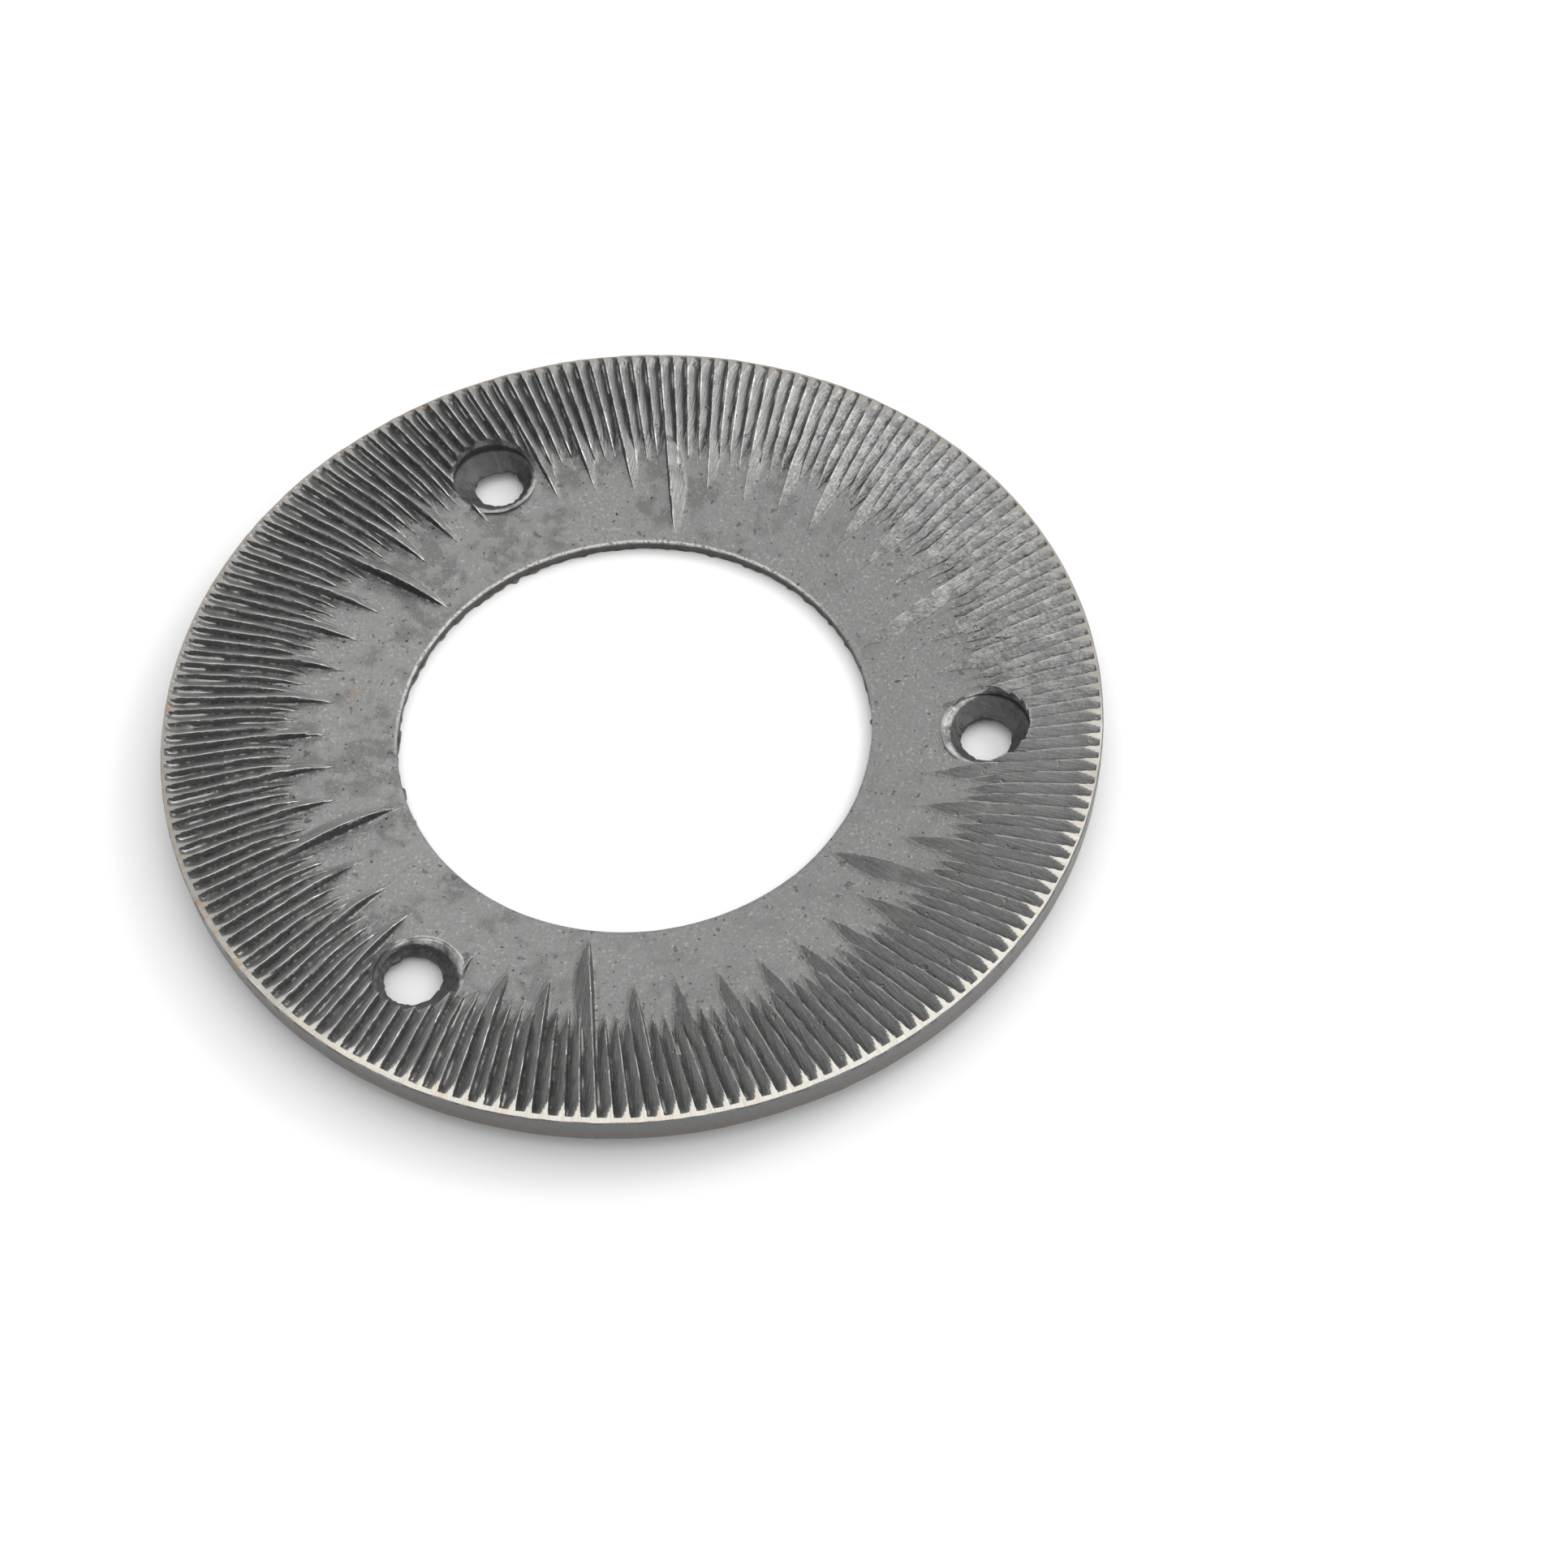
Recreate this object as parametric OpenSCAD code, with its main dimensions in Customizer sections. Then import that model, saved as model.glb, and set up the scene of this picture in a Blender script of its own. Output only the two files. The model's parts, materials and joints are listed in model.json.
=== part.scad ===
// Grinding disc of a hand grain mill: one casting, dished towards a wide bore,
// with a dress of straight saw teeth, a land round the rim and three countersunk holes.
// The back's seat round the bore stands on z = 0, and the axis is Z.

/* [Disc] */
// Outside diameter
disc_d = 150; // [140:1:170]
// Height of the outer side of the rim
rim_h = 5.2; // [4.4:0.1:6.5]
// Depth of the face at the bore, below the land
dish = 6.6; // [5.5:0.1:7.5]
// Diameter of the central bore
bore_d = 76.6; // [60:0.1:78]
// Height of the wall of the bore
bore_wall = 2; // [1.6:0.1:4]
// Size of the chamfer on the upper edge of the bore
bore_chamfer = 0.5; // [0.2:0.1:1]
// Width of the flat seat round the bore, on the back
seat_w = 4; // [2:0.5:8]
// Size of the chamfers on the rim
rim_chamfer = 0.3; // [0.1:0.1:0.8]

/* [Breast and land] */
// Slope of the plain breast round the bore, in degrees
breast_angle = 9.3; // [8.5:0.1:10]
// Width of the ground land along the rim
land_w = 1; // [0.5:0.1:3]
// Slope of the wall where the grooves end at the land, in degrees
groove_end_angle = 60; // [45:1:75]

/* [Teeth] */
// Equal sectors of the dress, each with one long tooth
sectors = 6; // [5:1:7]
// Main teeth in a sector, the long one among them
mains_per_sector = 8; // [7:1:9]
// Teeth in a group, which is one main tooth and the short ones after it
teeth_per_group = 4; // [3:1:4]
// Diameter at the tips of the long teeth
long_tip_d = 79.5; // [79:0.5:90]
// Diameter at the tips of the medium teeth
medium_tip_d = 97.2; // [92:0.1:104]
// Diameter at the tips of the short teeth
short_tip_d = 108.3; // [104:0.1:112]
// Distance at which the line of each crest passes the axis
crest_offset = 8.8; // [4:0.1:12]
// Turn of the long teeth from the nearest hole, in degrees
dress_turn = 38.2; // [30:0.1:45]
// Slope of the long side of a tooth, in degrees
long_side_angle = 36; // [30:1:42]
// Slope of the steep side of a tooth, in degrees
steep_side_angle = 80; // [70:1:85]
// Rise of the crests towards the rim, in degrees
crest_angle = 6.2; // [5.5:0.1:7]
// Radius of the curve with which a crest rises from its tip
tip_curve_r = 24; // [18:1:32]
// Distance from the rim at which the crests turn up to the land
run_up_w = 3.75; // [3:0.05:6]
// Depth of the crests below the land where they turn up
run_up_drop = 0.05; // [0:0.05:0.4]
// Slope of the crests where they turn up to the land, in degrees
run_up_angle = 22; // [15:1:30]

/* [Screw holes] */
// Number of holes
holes = 3; // [2:1:4]
// Diameter of the circle through the holes
hole_circle_d = 113.2; // [104:0.1:120]
// Diameter of the holes
hole_d = 8.4; // [6:0.1:10]
// Angle of the countersink's cone, in degrees
countersink_angle = 100; // [90:1:104]
// Diameter of the recess above the countersink
recess_d = 13.8; // [13.6:0.1:17]
// Depth of the floor of that recess below the breast, at the middle of the hole
recess_depth = 0.7; // [0.3:0.05:1]
// Depth at which the cone of the countersink ends in the hole
countersink_depth = 2.7; // [2.2:0.1:3]
// Width of the raised collar round the recess
collar_w = 0.35; // [0.2:0.05:0.8]
// Height of that collar above the floor of the recess
collar_h = 0.15; // [0.1:0.05:0.3]

/* [Hidden] */
// Levels and radii that follow from the sizes above
land_z = dish + bore_wall;
bore_edge_z = bore_wall - bore_chamfer;
rim_foot_z = land_z - rim_h;
rim_r = disc_d / 2;
bore_r = bore_d / 2;
run_up_r = rim_r - run_up_w;
hole_circle_r = hole_circle_d / 2;
teeth = sectors * mains_per_sector * teeth_per_group;
// The breast stops where the sides of all the teeth have met
short_curve_l = tip_curve_l(short_tip_d / 2);
breast_r = short_tip_d / 2 + short_curve_l;
// How far the blanks of teeth and land run past what trims them
spare = 1;
// Depth of a tooth's blank, which reaches down into the plate all the way out to the rim
tooth_h = fine(crest_z(rim_r + spare) - breast_z(rim_r) + spare);
blank_h = land_z + spare;
curve_steps = 5;
face_fn = 120;
bore_fn = 128;
hole_fn = 64;
// Levels at a hole: the breast at its middle, the floor of the recess, the collar's hidden foot
hole_plane_z = breast_z(hole_circle_r);
recess_z = hole_plane_z - recess_depth;
collar_foot_z = hole_plane_z - countersink_depth;
countersink_top_r = hole_d / 2 + (countersink_depth - recess_depth) * tan(countersink_angle / 2);

// Rounds a length to a micron
function fine(v) = round(1000 * v) / 1000;

// Height of the plain breast
function breast_z(r) = land_z - dish + (min(r, breast_r) - bore_r) * tan(breast_angle);

// Height of the crests away from their tips
function crest_z(r) =
    land_z - run_up_drop
    + (r < run_up_r ? (r - run_up_r) * tan(crest_angle) : (r - run_up_r) * tan(run_up_angle));

// Length of the curve with which a crest rises out of the breast
function tip_curve_l(tip_r) =
    sqrt(2 * tip_curve_r * (crest_z(tip_r) - land_z + dish - (tip_r - bore_r) * tan(breast_angle)));

// Place along a crest's line at a distance from the axis, and the other way round
function along(r) = sqrt(r * r - crest_offset * crest_offset);
function reach(x) = sqrt(x * x + crest_offset * crest_offset);

// Places along a tooth at which its section is given
function stations(tip_r) =
    let (tip_x = along(tip_r), curve_l = tip_curve_l(tip_r))
    [
        tip_x - spare,
        for (i = [0 : curve_steps]) tip_x + curve_l * i / curve_steps,
        along(run_up_r),
        along(rim_r + spare)
    ];

// Height of the crest at a place along a tooth
function crest_at(x, tip_r) =
    let (to_go = max(0, along(tip_r) + tip_curve_l(tip_r) - x))
        crest_z(reach(x)) - to_go * to_go / (2 * tip_curve_r);

// Section of a tooth at one station: foot of the long side, crest, foot of the steep side.
// Whole microns keep each side of the tooth flat from one station to the next.
function tooth_section(x, top) = [
    [x, -fine(tooth_h / tan(long_side_angle)), top - tooth_h],
    [x, 0, top],
    [x, fine(tooth_h / tan(steep_side_angle)), top - tooth_h]
];

// One saw tooth, from its tip out into the land
module tooth(tip_r) {
    xs = stations(tip_r);
    n = len(xs);
    points = [for (x = xs) each tooth_section(fine(x), fine(crest_at(x, tip_r)))];
    sides = [
        for (k = [0 : n - 2], j = [0 : 2])
            let (a = 3 * k + j, b = 3 * k + (j + 1) % 3)
                each [[a, b, b + 3], [a, b + 3, a + 3]]
    ];
    translate([0, -crest_offset, 0])
        polyhedron(points, concat([[2, 1, 0], [3 * n - 3, 3 * n - 2, 3 * n - 1]], sides), convexity = 4);
}

// Radius of the tips of tooth number i, counted from a long tooth
function tip_r(i) =
    i % teeth_per_group > 0 ? short_tip_d / 2
    : i % (teeth_per_group * mains_per_sector) > 0 ? medium_tip_d / 2
    : long_tip_d / 2;

// All the teeth
module dress() {
    for (i = [0 : teeth - 1])
        rotate([0, 0, dress_turn + 360 * i / teeth])
            tooth(tip_r(i));
}

// Plate under the teeth, with the breast on top and the land's raised edge
module plate() {
    rotate_extrude($fn = face_fn)
        polygon([
            [bore_r - spare, -tooth_h],
            [2 * rim_r, -tooth_h],
            [2 * rim_r, land_z],
            [rim_r - land_w, land_z],
            [rim_r - land_w - (land_z - breast_z(breast_r)) / tan(groove_end_angle), breast_z(breast_r)],
            [breast_r, breast_z(breast_r)],
            [bore_r - spare, breast_z(bore_r - spare)]
        ]);
}

// Worked face, ground flat at the level of the land
module face() {
    resize([0, 0, 0])
        intersection() {
            union() {
                plate();
                dress();
            }
            translate([0, 0, -land_z])
                cylinder(h = 2 * land_z, r = 2 * rim_r, $fn = 8);
        }
}

// Turned outline: bore, seat, hollow back and rim
module turned_blank() {
    rotate_extrude($fn = bore_fn)
        polygon([
            [bore_r, 0],
            [bore_r + seat_w, 0],
            [rim_r - rim_chamfer, rim_foot_z],
            [rim_r, rim_foot_z + rim_chamfer],
            [rim_r, land_z - rim_chamfer],
            [rim_r - rim_chamfer - spare, blank_h],
            [bore_r + blank_h - bore_edge_z, blank_h],
            [bore_r, bore_edge_z]
        ]);
}

// Low collar that carries the recess where the breast falls away towards the bore
module hole_collar() {
    cylinder(h = recess_z + collar_h - collar_foot_z, d = recess_d + 2 * collar_w, $fn = hole_fn);
}

// Through hole, countersink and recess in one turned tool
module hole_tool() {
    rotate_extrude($fn = hole_fn)
        polygon([
            [0, -spare],
            [hole_d / 2, -spare],
            [hole_d / 2, hole_plane_z - countersink_depth],
            [countersink_top_r, recess_z],
            [recess_d / 2, recess_z],
            [recess_d / 2, land_z + spare],
            [0, land_z + spare]
        ]);
}

// Places its children at every hole
module at_holes() {
    for (i = [0 : holes - 1])
        rotate([0, 0, 360 * i / holes])
            translate([hole_circle_r, 0, 0])
                children();
}

module grinding_disc() {
    color("dimgray")
        difference() {
            union() {
                intersection() {
                    turned_blank();
                    face();
                }
                at_holes()
                    translate([0, 0, collar_foot_z])
                        hole_collar();
            }
            at_holes()
                hole_tool();
        }
}

grinding_disc();
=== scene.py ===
import json
import math

import bpy
import numpy as np
from mathutils import Matrix, Vector


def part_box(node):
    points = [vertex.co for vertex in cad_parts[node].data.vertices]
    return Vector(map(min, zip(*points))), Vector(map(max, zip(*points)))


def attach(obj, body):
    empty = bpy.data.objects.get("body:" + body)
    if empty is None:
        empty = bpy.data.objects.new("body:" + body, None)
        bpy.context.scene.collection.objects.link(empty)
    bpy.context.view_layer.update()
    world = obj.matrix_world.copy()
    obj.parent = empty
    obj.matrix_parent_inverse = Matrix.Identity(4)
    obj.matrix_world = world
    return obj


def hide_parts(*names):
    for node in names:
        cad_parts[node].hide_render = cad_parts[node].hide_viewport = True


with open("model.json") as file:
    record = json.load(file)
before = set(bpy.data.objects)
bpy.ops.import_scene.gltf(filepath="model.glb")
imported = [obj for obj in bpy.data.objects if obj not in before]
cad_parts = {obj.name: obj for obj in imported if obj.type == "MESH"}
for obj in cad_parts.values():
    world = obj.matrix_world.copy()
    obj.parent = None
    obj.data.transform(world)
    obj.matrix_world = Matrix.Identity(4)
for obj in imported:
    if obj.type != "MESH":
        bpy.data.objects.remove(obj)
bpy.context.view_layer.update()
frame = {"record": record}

# Lengths in this script are in millimetres until a mesh or an object is made.
MM = 0.001
SEED = 7

# Sizes taken from the frame
NODE = "grinding_disc"
box_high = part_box(NODE)[1]
mounts = {m["name"]: m for m in frame["record"]["mounts"]}
RIM_R = box_high.x / MM
LAND_Z = box_high.z / MM
BORE_R = mounts["bore"]["dims"]["r_mm"]
HOLE_CIRCLE_R = mounts["screw_holes"]["dims"]["pcd_mm"] / 2
HOLE_COUNT = mounts["screw_holes"]["dims"]["count"]
HOLE_R = mounts["screw_holes"]["dims"]["hole_r_mm"]

# Plate: the breast's cone, the rim and the seat on the back
BORE_WALL = 2.0
BREAST_SLOPE = math.tan(math.radians(9.3))
BREAST_END_R = 64.0
RIM_H = 5.2
SEAT_W = 4.0
RIM_EDGE = 0.3
LAND_W = 1.0
GROOVE_END_SLOPE = math.tan(math.radians(60))

# Dress of saw teeth
TEETH_PER_GROUP = 4
MAINS_PER_SECTOR = 8
SECTORS = 6
TEETH = TEETH_PER_GROUP * MAINS_PER_SECTOR * SECTORS
PITCH = 2 * math.pi / TEETH
DRESS_TURN = math.radians(38.2)
LONG_TIP_R = 39.75
MEDIUM_TIP_R = 48.6
SHORT_TIP_R = 54.15
CREST_OFFSET = 8.8
LONG_SIDE = math.tan(math.radians(36))
STEEP_SIDE = math.tan(math.radians(80))
CREST_SLOPE = math.tan(math.radians(6.2))
TIP_CURVE_R = 24.0
RUN_UP_R = RIM_R - 3.75
RUN_UP_LATER = 1.2
RUN_UP_DROP = 0.05
RUN_UP_SLOPE = math.tan(math.radians(17))
CREST_WEAR = 0.07
TEETH_AHEAD = 5
USUAL_FOOT = 0.113

# Screw holes
HOLE_PLANE_Z = BORE_WALL + (HOLE_CIRCLE_R - BORE_R) * BREAST_SLOPE
SINK_FOOT = 2.7
RECESS_DEPTH = 0.7
RECESS_R = 6.9
COLLAR_W = 0.35
COLLAR_H = 0.15
SINK_TOP_R = HOLE_R + (SINK_FOOT - RECESS_DEPTH) * math.tan(math.radians(50))


def smooth(t):
    """Eases a number from 0 to 1."""
    t = np.clip(t, 0, 1)
    return t * t * (3 - 2 * t)


def lattice(shape, seed):
    return np.random.default_rng(SEED + seed).uniform(-1, 1, shape)


def noise(x, y, z, size, seed):
    """Smooth noise between -1 and 1 at points in millimetres, with features of the given size."""
    table = lattice((32, 32, 32), seed)
    p = [np.asarray(v, float) / size + 1000 for v in (x, y, z)]
    low = [np.floor(v).astype(int) for v in p]
    part = [smooth(v - f) for v, f in zip(p, low)]
    total = 0
    for a in (0, 1):
        for b in (0, 1):
            for c in (0, 1):
                weight = (
                    (part[0] if a else 1 - part[0])
                    * (part[1] if b else 1 - part[1])
                    * (part[2] if c else 1 - part[2])
                )
                total = total + weight * table[(low[0] + a) % 32, (low[1] + b) % 32, (low[2] + c) % 32]
    return total


def ring_noise(angle, waves, seed):
    """Smooth noise round a circle, with about the given number of waves in a turn."""
    table = lattice(waves, seed)
    p = (np.asarray(angle) / (2 * math.pi)) % 1 * waves
    low = np.floor(p).astype(int)
    part = smooth(p - low)
    return (1 - part) * table[low % waves] + part * table[(low + 1) % waves]


# Form of the face

def breast_z(r):
    return BORE_WALL + (r - BORE_R) * BREAST_SLOPE


def crest_z(r):
    return LAND_Z - RUN_UP_DROP + (r - RUN_UP_R) * CREST_SLOPE


def run_up(r, tooth):
    """How far the crest rises above its own line near the rim. It starts later at the left of the face."""
    line = DRESS_TURN + PITCH * tooth
    later = RUN_UP_LATER * smooth((np.cos(line - math.radians(165)) + 0.2) / 0.9)
    return np.maximum(0, r - RUN_UP_R - later) * (RUN_UP_SLOPE - CREST_SLOPE)


TOOTH = np.arange(TEETH)
MAIN = TOOTH % TEETH_PER_GROUP == 0
LONG = TOOTH % (TEETH_PER_GROUP * MAINS_PER_SECTOR) == 0
TIP_R = np.where(LONG, LONG_TIP_R, np.where(MAIN, MEDIUM_TIP_R, SHORT_TIP_R))
TIP_R = TIP_R + np.where(LONG, 0.15, 0.45) * lattice(TEETH, 1)
TIP_X = np.sqrt(TIP_R ** 2 - CREST_OFFSET ** 2)
CURVE_L = np.sqrt(2 * TIP_CURVE_R * (crest_z(TIP_R) - breast_z(TIP_R)))
TOOTH_DROP = 0.07 * lattice(TEETH, 2) + 0.04
TOOTH_SHIFT = 0.06 * lattice(TEETH, 3)


def crest_at(x, tooth):
    """Height of a tooth's crest at a distance x along its line."""
    to_go = np.maximum(0, TIP_X[tooth] + CURVE_L[tooth] - x)
    ragged = 0.07 * noise(x, tooth * 7.0, 0 * x, 0.9, 4) + 0.05 * noise(x, tooth * 7.0, 0 * x, 3.0, 5)
    nick = np.maximum(0, noise(x, tooth * 7.0, 0 * x, 1.6, 6) - 0.62) * 0.9
    near_rim = smooth((x - 62) / 6)
    rough = (ragged - nick) * (1 - 0.6 * near_rim) - TOOTH_DROP[tooth] * (1 - near_rim)
    r = np.sqrt(x * x + CREST_OFFSET ** 2)
    return crest_z(r) + run_up(r, tooth) - to_go ** 2 / (2 * TIP_CURVE_R) + rough


def tooth_at(r, angle, tooth):
    """Height of a tooth's two sides above a place, and how far that place lies beyond the crest."""
    line = DRESS_TURN + PITCH * tooth
    x = r * np.cos(angle - line)
    d = r * np.sin(angle - line) + CREST_OFFSET
    t = tooth % TEETH
    d = d + TOOTH_SHIFT[t] + 0.05 * noise(x, t * 7.0, 0 * x, 2.2, 8)
    top = crest_at(x, t)
    side = top - np.where(d > 0, d * STEEP_SIDE, -d * LONG_SIDE)
    return np.minimum(top - CREST_WEAR, side), top


def land_edge(angle):
    """Inner radius of the land, which is widest at the near side of the face."""
    narrow = 1 - smooth((np.cos(angle - math.radians(264)) - 0.1) / 0.8)
    return RIM_R - LAND_W + 0.5 * narrow + 0.1 * ring_noise(angle, 40, 9) + 0.06 * ring_noise(angle, 400, 10)


def face_z(r, angle, cell):
    """Height of the face at places that lie just past the crest of the tooth named by cell."""
    z = breast_z(np.minimum(r, BREAST_END_R))
    for ahead in range(TEETH_AHEAD):
        z = np.maximum(z, tooth_at(r, angle, cell + ahead)[0])
    end_wall = LAND_Z - (land_edge(angle) - r) * GROOVE_END_SLOPE
    return np.minimum(np.maximum(z, end_wall), LAND_Z)


def roughness_of(r, angle):
    """Casting texture of the face that is large enough to be form."""
    x, y = r * np.cos(angle), r * np.sin(angle)
    return 0.028 * noise(x, y, 0 * x, 1.1, 11) + 0.03 * noise(x, y, 0 * x, 3.1, 12)


# Rings of vertices, each along one circle, that follow the lines of the crests

class Shell:
    def __init__(self):
        self.points = []
        self.marks = []
        self.faces = []
        self.count = 0

    def ring(self, x, y, z, marks=None):
        ids = np.arange(self.count, self.count + len(x))
        self.points.append(np.stack([x, y, z], 1))
        self.marks.append(np.zeros((len(x), 2)) if marks is None else marks)
        self.count += len(x)
        return ids

    def bridge(self, a, b):
        """Quads between two rings with the same number of vertices."""
        self.faces.extend(zip(a, b, np.roll(b, -1), np.roll(a, -1)))

    def stitch(self, a, b, turn_a, turn_b):
        """Triangles between rings with different numbers of vertices, in step by their angles."""
        i = j = 0
        n, m = len(a), len(b)
        turn_a = np.append(turn_a, turn_a[0] + 2 * math.pi)
        turn_b = np.append(turn_b, turn_b[0] + 2 * math.pi)
        while i < n or j < m:
            if j >= m or (i < n and turn_a[i + 1] <= turn_b[j + 1]):
                self.faces.append((a[i % n], b[j % m], a[(i + 1) % n]))
                i += 1
            else:
                self.faces.append((a[i % n], b[j % m], b[(j + 1) % m]))
                j += 1


FINE_COLUMNS = 10
INNER_COLUMNS = 6
BORE_RING_R = 39.3
NEAR_SIDE = math.radians(262)
GROOVE_END_ROWS = (0.62, 0.4, 0.2)


def columns(r, count):
    """Angles round one circle. The first ones of each tooth lie on its crest and down its steep side."""
    tooth = np.arange(TEETH)
    line = DRESS_TURN + PITCH * tooth - np.arcsin(CREST_OFFSET / r)
    width = PITCH * r
    flat = CREST_WEAR / LONG_SIDE / width
    edge = CREST_WEAR / STEEP_SIDE / width
    foot = np.full(TEETH, USUAL_FOOT)
    for _ in range(4):
        angle = line + foot * PITCH
        below = np.full(TEETH, breast_z(min(r, BREAST_END_R)))
        for ahead in range(1, TEETH_AHEAD):
            below = np.maximum(below, tooth_at(r, angle, tooth + ahead)[0])
        top = tooth_at(np.full(TEETH, r), line, tooth)[1]
        foot = np.clip((top - below) / STEEP_SIDE / width, 0.06, 0.34)
    missing = TIP_R > r + 0.3
    foot = np.where(missing, USUAL_FOOT, foot)
    shift = -TOOTH_SHIFT / width
    start = np.stack([edge + shift, (edge + foot) / 2 + shift, foot + shift])
    last = 1 - flat + np.roll(shift, -1)
    rest = count - len(start)
    steps = (np.arange(1, rest + 1) / rest)[:, None]
    more = start[-1] + (last - start[-1]) * steps
    share = np.concatenate([start, more]).T
    return (line[:, None] + share * PITCH).ravel(), np.repeat(tooth, count)


def line_marks(r, count):
    """Marks the vertices of one ring that lie on a crest and at the foot of a steep side."""
    marks = np.zeros((TEETH, count, 2))
    there = TIP_R < r + 1
    marks[there, 0, 0] = 1
    marks[np.roll(there, -1), -1, 0] = 1
    marks[there, 2, 1] = 1
    return marks.reshape(-1, 2)


def face_rows():
    """Radii of the face's rings, closest where tips begin and where the grooves end."""
    inner = np.concatenate([[39.7, 40.3], np.linspace(41.0, 46.0, 7)])
    outer = np.concatenate([
        np.linspace(46.8, 52.0, 6),
        np.linspace(52.7, 60.0, 11),
        np.linspace(61.0, 70.0, 9),
        [70.8, 71.4, 71.9, 72.35, 72.75, 73.1],
    ])
    return inner, outer


def build_casting():
    """Closed shell of the whole casting, ring by ring from the bore over the face, rim and back."""
    shell = Shell()
    inner, outer = face_rows()

    # Edge of the bore: sharp at the far side and rounded off at the near side
    angle = columns(BORE_RING_R, INNER_COLUMNS)[0]
    near = smooth((np.cos(angle - NEAR_SIDE) + 0.25) / 0.9)
    wobble = 0.05 * ring_noise(angle, 60, 20) + 0.03 * ring_noise(angle, 260, 21)
    reach = 0.35 + 0.75 * near
    edge_rings = []
    for share in (0.0, 0.35, 0.75, 1.0):
        bend = share * math.pi / 2
        r = BORE_R + reach * (1 - math.cos(bend))
        drop = reach * (0.25 + 0.35 * near)
        z = breast_z(BORE_R + reach) - drop * (1 - math.sin(bend))
        edge_rings.append((r + np.maximum(0, wobble) * (1 - share), z + 0.3 * wobble * share))
    first = None
    previous = None
    for r, z in edge_rings:
        ids = shell.ring(r * np.cos(angle), r * np.sin(angle), z)
        if previous is None:
            first = ids
        else:
            shell.bridge(previous, ids)
        previous = ids
    turn = angle

    for k, r in enumerate(list(inner) + list(outer)):
        count = INNER_COLUMNS if k < len(inner) else FINE_COLUMNS
        angle, tooth = columns(r, count)
        rr = np.full(len(angle), r) + smooth((r - 66) / 7) * (land_edge(angle) - (RIM_R - LAND_W))
        z = face_z(rr, angle, tooth) + roughness_of(rr, angle) * smooth((RIM_R - 2.2 - rr) / 2)
        z = np.minimum(z, LAND_Z)
        ids = shell.ring(rr * np.cos(angle), rr * np.sin(angle), z, line_marks(r, count))
        if len(ids) == len(previous):
            shell.bridge(previous, ids)
        else:
            shell.stitch(previous, ids, turn, angle)
        previous, turn = ids, angle

    # End walls of the grooves, the land and the rim's upper edge
    edge = land_edge(angle)
    level = np.full(len(angle), LAND_Z)
    edge_w = RIM_EDGE * (0.75 + 0.25 * ring_noise(angle, 300, 30))
    rows = [(edge - back, face_z(edge - back, angle, tooth)) for back in GROOVE_END_ROWS]
    for rr, z in rows + [(edge, level), (RIM_R - edge_w, level)]:
        ids = shell.ring(rr * np.cos(angle), rr * np.sin(angle), z)
        shell.bridge(previous, ids)
        previous = ids

    # Side of the rim, on fewer columns
    side_angle = np.arange(TEETH * 4) * (2 * math.pi / (TEETH * 4)) + angle[0]
    foot_z = LAND_Z - RIM_H
    wave = 0.10 * ring_noise(side_angle, 37, 31) + 0.06 * ring_noise(side_angle, 190, 32)
    profile = (
        (0.0, LAND_Z - RIM_EDGE),
        (0.02, LAND_Z - 1.6),
        (0.02, LAND_Z - 3.0),
        (0.05, foot_z + 0.9),
        (0.12, foot_z + 0.35),
        (0.45, foot_z),
    )
    for k, (inset, level) in enumerate(profile):
        dent = 0.02 + 0.02 * ring_noise(side_angle, 150 + 20 * k, 33 + k)
        rr = RIM_R - inset - dent
        z = level + (wave if k > 2 else 0 * wave)
        ids = shell.ring(rr * np.cos(side_angle), rr * np.sin(side_angle), z)
        if len(ids) == len(previous):
            shell.bridge(previous, ids)
        else:
            shell.stitch(previous, ids, angle, side_angle)
        previous = ids
    turn = side_angle

    # Back: hollow cone and the flat seat round the bore
    back_angle = np.arange(TEETH * 2) * (2 * math.pi / (TEETH * 2)) + angle[0]
    seat_r = BORE_R + SEAT_W
    for share in (0.85, 0.65, 0.45, 0.25, 0.06):
        rr = seat_r + (RIM_R - RIM_EDGE - seat_r) * share
        level = foot_z * share
        x, y = rr * np.cos(back_angle), rr * np.sin(back_angle)
        ids = shell.ring(x, y, level + 0.05 * noise(x, y, 0 * x, 4.0, 50))
        if len(ids) == len(previous):
            shell.bridge(previous, ids)
        else:
            shell.stitch(previous, ids, turn, back_angle)
        previous, turn = ids, back_angle
    for rr in (seat_r, BORE_R + 1.6):
        ids = shell.ring(rr * np.cos(back_angle), rr * np.sin(back_angle), np.zeros(len(back_angle)))
        shell.bridge(previous, ids)
        previous = ids

    # Wall of the bore, with a ragged lower edge
    angle = columns(BORE_RING_R, INNER_COLUMNS)[0]
    ragged = 0.14 * ring_noise(angle, 210, 60) + 0.1 * ring_noise(angle, 74, 61)
    for k, level in enumerate((0.0, 0.35, 0.9)):
        lift = np.maximum(0, 0.18 + ragged) if k == 0 else 0 * ragged
        inset = 0.12 + 0.1 * ring_noise(angle, 170 + 31 * k, 62 + k)
        hanging = np.maximum(0, ring_noise(angle, 190, 66) + 0.8 * ring_noise(angle, 23, 67) - 0.35)
        rr = BORE_R + inset - (0.42, 0.15, 0.0)[k] * hanging
        ids = shell.ring(rr * np.cos(angle), rr * np.sin(angle), level + lift)
        if k == 0:
            shell.stitch(previous, ids, turn, angle)
        else:
            shell.bridge(previous, ids)
        previous = ids
    shell.bridge(previous, first)
    return shell


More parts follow.
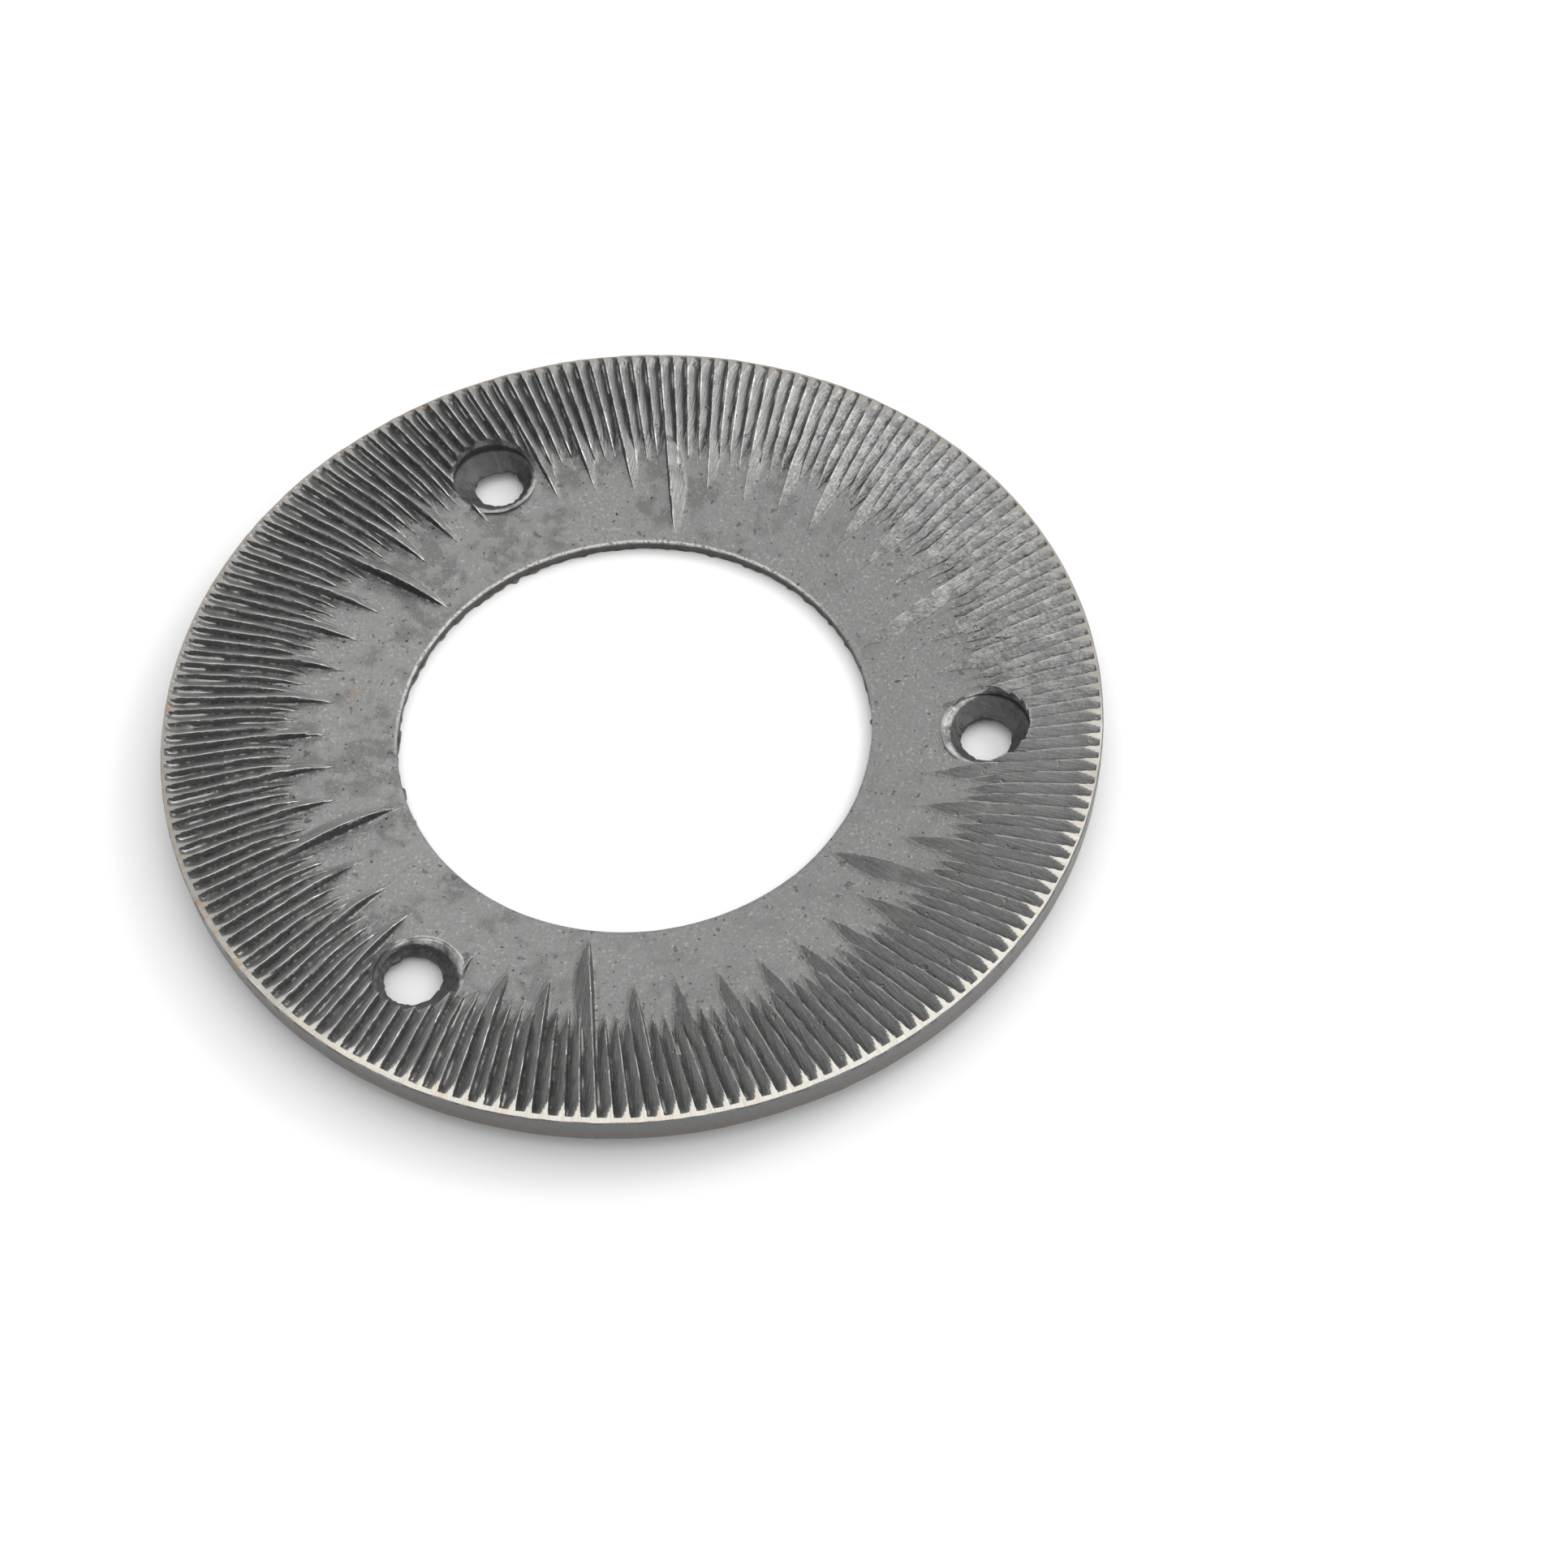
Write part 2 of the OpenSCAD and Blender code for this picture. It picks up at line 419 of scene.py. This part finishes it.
def mesh_object(name, points, faces):
    mesh = bpy.data.meshes.new(name)
    mesh.from_pydata((np.asarray(points) * MM).tolist(), [], [tuple(int(i) for i in f) for f in faces])
    mesh.validate()
    mesh.update()
    made = bpy.data.objects.new(name, mesh)
    bpy.context.scene.collection.objects.link(made)
    return made


def turned(name, profile, centre, shift=(0, 0)):
    """Closed body round a vertical axis, from rings of radius, height and share of the shift."""
    steps = TURNED_STEPS
    angle = np.arange(steps) * (2 * math.pi / steps)
    points, faces = [], []
    for k, (r, z, share) in enumerate(profile):
        r, z = np.broadcast_to(r, steps), np.broadcast_to(z, steps)
        x, y = centre[0] + share * shift[0], centre[1] + share * shift[1]
        points.append(np.stack([x + r * np.cos(angle), y + r * np.sin(angle), z], 1))
        if k:
            a, b = np.arange(steps) + (k - 1) * steps, np.arange(steps) + k * steps
            faces.extend(zip(a, np.roll(a, -1), np.roll(b, -1), b))
    last = (len(profile) - 1) * steps
    faces.append(tuple(range(steps - 1, -1, -1)))
    faces.append(tuple(range(last, last + steps)))
    return mesh_object(name, np.concatenate(points), faces)


def apply_boolean(target, tool, operation):
    modifier = target.modifiers.new("cut", "BOOLEAN")
    modifier.operation = operation
    modifier.object = tool
    modifier.solver = "MANIFOLD"
    depsgraph = bpy.context.evaluated_depsgraph_get()
    mesh = bpy.data.meshes.new_from_object(target.evaluated_get(depsgraph))
    target.modifiers.remove(modifier)
    old = target.data
    target.data = mesh
    bpy.data.meshes.remove(old)
    bpy.data.objects.remove(tool)


# How far the foot of each hole sits off its centre, how much wider it is, and its flash
HOLE_SHIFTS = ((0.1, -0.3), (0.6, 0.1), (-1.2, 0.7))
HOLE_WIDER = (0.0, -0.1, 0.35)
FLASH = (0.6, 0.9, 0.5)
TURNED_STEPS = 120


def cut_holes(casting):
    """Raises a thin collar round each screw hole, then cuts its recess, countersink and foot."""
    angle = np.arange(TURNED_STEPS) * (2 * math.pi / TURNED_STEPS)
    recess_z = HOLE_PLANE_Z - RECESS_DEPTH
    foot_z = HOLE_PLANE_Z - SINK_FOOT
    for k in range(HOLE_COUNT):
        turn = 2 * math.pi * k / HOLE_COUNT
        centre = (HOLE_CIRCLE_R * math.cos(turn), HOLE_CIRCLE_R * math.sin(turn))
        collar_r = RECESS_R + COLLAR_W + 0.08 * ring_noise(angle, 24, 70 + k)
        collar_z = recess_z + COLLAR_H + 0.08 * ring_noise(angle, 30, 80 + k)
        collar = turned("collar", [(collar_r, recess_z - 1.5, 0), (collar_r, collar_z, 0)], centre)
        apply_boolean(casting, collar, "UNION")
        rough = [0.14 * ring_noise(angle, 48 + 7 * j, 90 + 10 * k + j) for j in range(8)]
        flash = FLASH[k] * np.maximum(0, ring_noise(angle, 11, 130 + k) - 0.3)
        foot_r = HOLE_R + HOLE_WIDER[k]
        profile = [
            (foot_r - flash + rough[0], -2.0, 1),
            (foot_r - flash + 0.6 * rough[0], foot_z - 0.25, 1),
            (foot_r + rough[1], foot_z, 1),
            (foot_r + 0.7 + rough[2], foot_z + 0.55, 0.8),
            (HOLE_R + 1.4 + rough[3], foot_z + 1.1, 0.45),
            (SINK_TOP_R - 0.5 + rough[4], recess_z - 0.4, 0.1),
            (SINK_TOP_R + 0.5 * rough[5], recess_z, 0),
            (RECESS_R + 0.4 * rough[6], recess_z + 0.04, 0),
            (RECESS_R + 0.7 * rough[7], LAND_Z + 2.0, 0),
        ]
        cutter = turned("hole", profile, centre, HOLE_SHIFTS[k])
        apply_boolean(casting, cutter, "DIFFERENCE")


SHARP_ANGLE = math.radians(32)

shell = build_casting()
casting = mesh_object("casting", np.concatenate(shell.points), shell.faces)
# The crest and root marks place the painted highlights along the crests and the painted glints at the feet
# of the steep sides
for k, name in enumerate(("crest", "root")):
    values = np.concatenate(shell.marks)[:, k].astype(np.float32)
    casting.data.attributes.new(name, "FLOAT", "POINT").data.foreach_set("value", values)
cut_holes(casting)
casting.data.shade_smooth()
casting.data.set_sharp_from_angle(angle=SHARP_ANGLE)
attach(casting, "root")
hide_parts(NODE)


# Material: numbers in the node tree, in millimetres, written as ordinary sums

def new_material(name):
    made = bpy.data.materials.new(name)
    made.use_nodes = True
    made.node_tree.nodes.clear()
    return made


class Value:
    """A number that the node tree works out for each point of the surface."""

    tree = None

    def __init__(self, socket):
        self.socket = socket

    def __add__(self, other):
        return calc("ADD", self, other)

    def __sub__(self, other):
        return calc("SUBTRACT", self, other)

    def __mul__(self, other):
        return calc("MULTIPLY", self, other)

    def __truediv__(self, other):
        return calc("DIVIDE", self, other)

    __radd__ = __add__
    __rmul__ = __mul__

    def __rsub__(self, other):
        return calc("SUBTRACT", other, self)


def put(value, socket):
    if isinstance(value, Value):
        Value.tree.links.new(value.socket, socket)
    else:
        socket.default_value = value


def calc(operation, *values):
    node = Value.tree.nodes.new("ShaderNodeMath")
    node.operation = operation
    for value, socket in zip(values, node.inputs):
        put(value, socket)
    return Value(node.outputs[0])


def ramp(value, low, high, start=0.0, end=1.0):
    """Eases from start to end while value goes from low to high."""
    node = Value.tree.nodes.new("ShaderNodeMapRange")
    node.interpolation_type = "SMOOTHSTEP"
    names = ("Value", "From Min", "From Max", "To Min", "To Max")
    for number, name in zip((value, low, high, start, end), names):
        put(number, node.inputs[name])
    return Value(node.outputs["Result"])


def blend(share, a, b):
    return a + share * (b - a)


def vector(x, y, z):
    node = Value.tree.nodes.new("ShaderNodeCombineXYZ")
    for value, socket in zip((x, y, z), node.inputs):
        put(value, socket)
    return node.outputs[0]


def grain(point, size, detail=2.0, rough=0.5):
    """Noise between 0 and 1 with features of the given size. The size may differ along each axis."""
    size = size if isinstance(size, tuple) else (size, size, size)
    node = Value.tree.nodes.new("ShaderNodeTexNoise")
    node.inputs["Scale"].default_value = 1.0
    node.inputs["Detail"].default_value = detail
    node.inputs["Roughness"].default_value = rough
    place = vector(*(axis / length for axis, length in zip(point, size)))
    Value.tree.links.new(place, node.inputs["Vector"])
    return Value(node.outputs[0])


def mark(name):
    node = Value.tree.nodes.new("ShaderNodeAttribute")
    node.attribute_name = name
    return Value(node.outputs["Fac"])


def near_spot(point, spot, size):
    """1 at a spot of the face, fading to 0 at the given distance from it."""
    away = calc("SQRT", calc("POWER", point[0] - spot[0], 2) + calc("POWER", point[1] - spot[1], 2))
    return ramp(away, 0, size, 1, 0)


def cast_iron():
    material = new_material("cast_iron")
    tree = Value.tree = material.node_tree
    out = tree.nodes.new("ShaderNodeOutputMaterial")
    shader = tree.nodes.new("ShaderNodeBsdfPrincipled")
    tree.links.new(shader.outputs[0], out.inputs[0])

    coords = tree.nodes.new("ShaderNodeTexCoord")
    split = tree.nodes.new("ShaderNodeSeparateXYZ")
    tree.links.new(coords.outputs["Object"], split.inputs[0])
    p = [Value(s) / MM for s in split.outputs]
    r = calc("SQRT", p[0] * p[0] + p[1] * p[1])
    turn = calc("ARCTAN2", p[1], p[0])
    upright = tree.nodes.new("ShaderNodeSeparateXYZ")
    tree.links.new(coords.outputs["Normal"], upright.inputs[0])
    # steep is 1 on the steep tooth walls, found from the normal; it drives painted shade on those walls
    steep = ramp(Value(upright.outputs[2]), 0.6, 0.35)
    high = p[2] - (BORE_WALL + (calc("MINIMUM", r, BREAST_END_R) - BORE_R) * BREAST_SLOPE)

    # Where the surface is tooth, ground land, crest, bore wall, rim side and screw hole, and where
    # highlights are painted on the crests, the roots and the far lip of the bore
    speck = grain(p, 0.55, 3)
    blotch = grain(p, 2.6, 3)
    cloud = grain(p, 9.0, 3, 0.6)
    on_tooth = ramp(high, 0.08, 0.3)
    ground = ramp(p[2] + (speck - 0.5) * 0.03, LAND_Z - 0.035, LAND_Z - 0.02)
    leftward = ramp(calc("COSINE", turn - math.radians(165)), -0.75, 0.5)
    rough_side = ramp(calc("COSINE", turn - math.radians(36)), 0.72, 0.95) * on_tooth
    # Painted highlight along the crests, partly pale worn metal on the crest flats; drawn stronger at the
    # left of the face
    crest = ramp(mark("crest") + (speck - 0.5) * 1.3 + (blotch - 0.5) * 1.5, 0.66, 1.0) * on_tooth
    crest = crest * blend(leftward, 0.3, 0.9)
    # Painted glints, in dots along the foot of each steep side, drawn stronger at the left of the face
    painted_glint_dots = ramp(grain(p, 1.0, 4, 0.7), 0.48, 0.66)
    root = ramp(mark("root"), 0.35, 0.8) * painted_glint_dots * blend(leftward, 0.35, 1.0)
    wall = ramp(high, -0.25, -0.6)
    side = ramp(r, RIM_R - 0.3, RIM_R - 0.15) * ramp(p[2], LAND_Z - 0.1, LAND_Z - 0.4)
    hole = 0.0
    for k in range(HOLE_COUNT):
        a = 2 * math.pi * k / HOLE_COUNT
        centre = (HOLE_CIRCLE_R * math.cos(a), HOLE_CIRCLE_R * math.sin(a))
        away = calc("SQRT", calc("POWER", p[0] - centre[0], 2) + calc("POWER", p[1] - centre[1], 2))
        hole = ramp(away, RECESS_R - 0.2, RECESS_R + 0.5, 1, 0) + hole
    # Painted highlight along the upper edge of the bore at its far side
    far_lip_painted_highlight = ramp(r, BORE_R + 0.6, BORE_R + 0.25) * ramp(high, -0.4, -0.15)
    far_lip_painted_highlight = far_lip_painted_highlight * ramp(calc("COSINE", turn - math.radians(110)), 0.1, 0.6)

    # Marks of casting and wear, then the tone, with painted glints, highlights and shade
    pits = ramp(grain(p, 0.8, 1), 0.70, 0.78)
    deep = ramp(grain(p, 1.9, 2), 0.66, 0.74)
    streak = grain((r * 1.0, turn * 60.0, p[2] * 1.0), (5.0, 0.28, 0.28), 2)
    scratch = grain((r * 1.0, turn * 60.0, p[2] * 1.0), (4.0, 0.11, 4.0), 3, 0.6)
    facing = calc("COSINE", turn - math.radians(172))
    rust = ramp(grain(p, 1.6, 3, 0.65), 0.5, 0.68) * ramp(facing, -0.4, 0.9) * ramp(r, 73.6, 74.8)
    rust_spot = near_spot(p, (-46.0, 4.5), 2.2) * 0.5 + near_spot(p, (48.2, 2.0), 0.5)

    stain = ramp(cloud + (speck - 0.5) * 0.25, 0.47, 0.56) * ramp(blotch + (speck - 0.5) * 0.5, 0.42, 0.52)
    stain = stain * blend(leftward, 0.35, 1.0)
    # Painted glints: lighter flecks from the speck noise on the breast
    glint = ramp(speck, 0.6, 0.68)
    tone = 0.185 * blend(speck, 0.7, 1.3) * blend(stain, 1.04, 0.72) * blend(glint, 1.0, 1.35)
    tone = tone * blend(pits, 1.0, 0.35) * blend(deep, 1.0, 0.6)
    # Painted shade and light on the tooth flanks: steep walls are drawn darker, and gentle flanks at the
    # left of the face are drawn lighter
    left_flank_painted_light = ramp(calc("COSINE", turn - math.radians(195)), 0.3, 0.8)
    flank = 0.2 * blend(streak, 0.6, 1.4) * blend(speck, 0.75, 1.25)
    flank = flank * blend(steep, blend(left_flank_painted_light, 1.0, 1.7), 0.55)
    mottle = ramp(blotch + (speck - 0.5) * 0.6, 0.38, 0.66)
    flank = flank * blend(rough_side * mottle, 1.0, 1.45)
    tone = blend(on_tooth, tone, flank)
    # Painted glints at the roots
    tone = blend(root, tone, 0.42)
    # Painted highlight and wear on the crests
    tone = blend(crest, tone, 0.42)
    tone = blend(hole, tone, 0.32 * blend(ramp(blotch, 0.35, 0.62), 0.5, 1.4) * blend(speck, 0.6, 1.4))
    tone = blend(wall, tone, 0.10 * blend(blotch, 0.6, 1.4))
    tone = blend(side, tone, 0.17 * blend(speck, 0.85, 1.15) * blend(pits, 1.0, 0.5))
    # The land is drawn lighter towards the near right of the face, about 290 degrees
    land_lighter_near_right = ramp(calc("COSINE", turn - math.radians(290)) + (cloud - 0.5) * 0.8, 0.1, 0.8)
    tone = blend(ground, tone, blend(land_lighter_near_right, 0.24, 0.5) * blend(scratch, 0.6, 1.4))
    # Painted highlight on the far lip of the bore
    tone = blend(far_lip_painted_highlight * ramp(speck, 0.35, 0.5), tone, 0.42)
    wall = wall * (1 - hole)
    brown = calc("MINIMUM", rust + rust_spot + wall * 0.3 + ground * ramp(blotch, 0.5, 0.75) * 0.35, 1.0)

    colour = tree.nodes.new("ShaderNodeCombineColor")
    warm = ground * 0.04 + 0.005
    put(tone * (1 + warm) * blend(brown, 1.0, 1.05), colour.inputs[0])
    put(tone * blend(brown, 1.0, 0.78), colour.inputs[1])
    put(tone * (1 - warm * 2.2) * blend(brown, 1.0, 0.58), colour.inputs[2])
    tree.links.new(colour.outputs[0], shader.inputs["Base Color"])

    shader.inputs["Metallic"].default_value = 0.9
    rough = blend(speck, 0.34, 0.52)
    rough = blend(on_tooth, rough, blend(streak, 0.34, 0.46))
    rough = blend(crest, rough, 0.28)
    rough = blend(hole, rough, 0.55)
    put(blend(ground, rough, 0.36), shader.inputs["Roughness"])

    # Fine relief that is too small for the mesh
    cast = grain(p, 0.5, 4, 0.6) * 0.11 + grain(p, 1.5, 2) * 0.10 - pits * 0.06 - deep * 0.06
    fine = grain(p, 0.35, 3) * 0.03 + streak * 0.05 - deep * 0.08 + rough_side * grain(p, 0.9, 4, 0.6) * 0.22
    relief = blend(on_tooth, cast, fine)
    relief = blend(hole, relief, grain(p, 0.9, 4, 0.65) * 0.22)
    relief = blend(side, relief, speck * 0.02 - pits * 0.03)
    relief = blend(ground, relief, scratch * 0.01)
    bump = tree.nodes.new("ShaderNodeBump")
    bump.inputs["Strength"].default_value = 1.0
    bump.inputs["Distance"].default_value = MM
    put(relief, bump.inputs["Height"])
    tree.links.new(bump.outputs[0], shader.inputs["Normal"])
    return material


casting.data.materials.clear()
casting.data.materials.append(cast_iron())


# Floor, lights and camera

def plain_material(name, colour, rough):
    made = new_material(name)
    nodes = made.node_tree.nodes
    surface = nodes.new("ShaderNodeBsdfPrincipled")
    surface.inputs["Base Color"].default_value = (*colour, 1)
    surface.inputs["Roughness"].default_value = rough
    end = nodes.new("ShaderNodeOutputMaterial")
    made.node_tree.links.new(surface.outputs[0], end.inputs[0])
    return made


FLOOR_HALF = 3000.0
corners = [(-FLOOR_HALF, -FLOOR_HALF, 0), (FLOOR_HALF, -FLOOR_HALF, 0)]
corners += [(FLOOR_HALF, FLOOR_HALF, 0), (-FLOOR_HALF, FLOOR_HALF, 0)]
floor = mesh_object("floor", corners, [(0, 1, 2, 3)])
floor.data.materials.append(plain_material("floor_paper", (0.80, 0.80, 0.80), 0.8))


def area_light(name, place, aim, size, power):
    data = bpy.data.lights.new(name, "AREA")
    data.shape = "RECTANGLE"
    data.size, data.size_y = size[0] * MM, size[1] * MM
    data.energy = power
    lamp = bpy.data.objects.new(name, data)
    bpy.context.scene.collection.objects.link(lamp)
    lamp.location = Vector(place) * MM
    lamp.rotation_euler = (Vector(aim) * MM - lamp.location).to_track_quat("-Z", "Y").to_euler()
    return lamp


SKY_SIDE = Vector((0.62, 0.45, 0.64)).normalized()
SKY_DARK, SKY_BRIGHT = 0.52, 1.75


def studio_sky():
    """A dome of soft light that is bright at the back and the right."""
    world = bpy.data.worlds.new("studio")
    world.use_nodes = True
    tree = Value.tree = world.node_tree
    coords = tree.nodes.new("ShaderNodeTexCoord")
    split = tree.nodes.new("ShaderNodeSeparateXYZ")
    tree.links.new(coords.outputs["Generated"], split.inputs[0])
    x, y, z = (Value(s) for s in split.outputs)
    towards = x * SKY_SIDE.x + y * SKY_SIDE.y + z * SKY_SIDE.z
    background = tree.nodes["Background"]
    background.inputs["Color"].default_value = (1, 1, 1, 1)
    put(ramp(towards, -0.5, 0.95, SKY_DARK, SKY_BRIGHT), background.inputs["Strength"])
    bpy.context.scene.world = world


studio_sky()
area_light("key", (620, 450, 640), (0, 0, 0), (260, 260), 1.5)
bpy.context.scene.view_settings.view_transform = "Standard"

CAMERA_PLACE = Vector((53.06, -263.96, 377.26))
CAMERA_AIM = Vector((25.33, -14.54, 8.6))
CAMERA_ROLL = math.radians(-3.43)
SENSOR_W = 36
PHOTO_W = 1932
FOCAL = 3523.35 / PHOTO_W * SENSOR_W

camera_data = bpy.data.cameras.new("camera")
camera_data.sensor_width = SENSOR_W
camera_data.lens = FOCAL
camera_data.clip_start, camera_data.clip_end = 0.01, 20
camera = bpy.data.objects.new("camera", camera_data)
bpy.context.scene.collection.objects.link(camera)
look = (CAMERA_AIM - CAMERA_PLACE).to_track_quat("-Z", "Y")
camera.location = CAMERA_PLACE * MM
camera.rotation_euler = (look.to_matrix() @ Matrix.Rotation(CAMERA_ROLL, 3, "Z")).to_euler()
bpy.context.scene.camera = camera
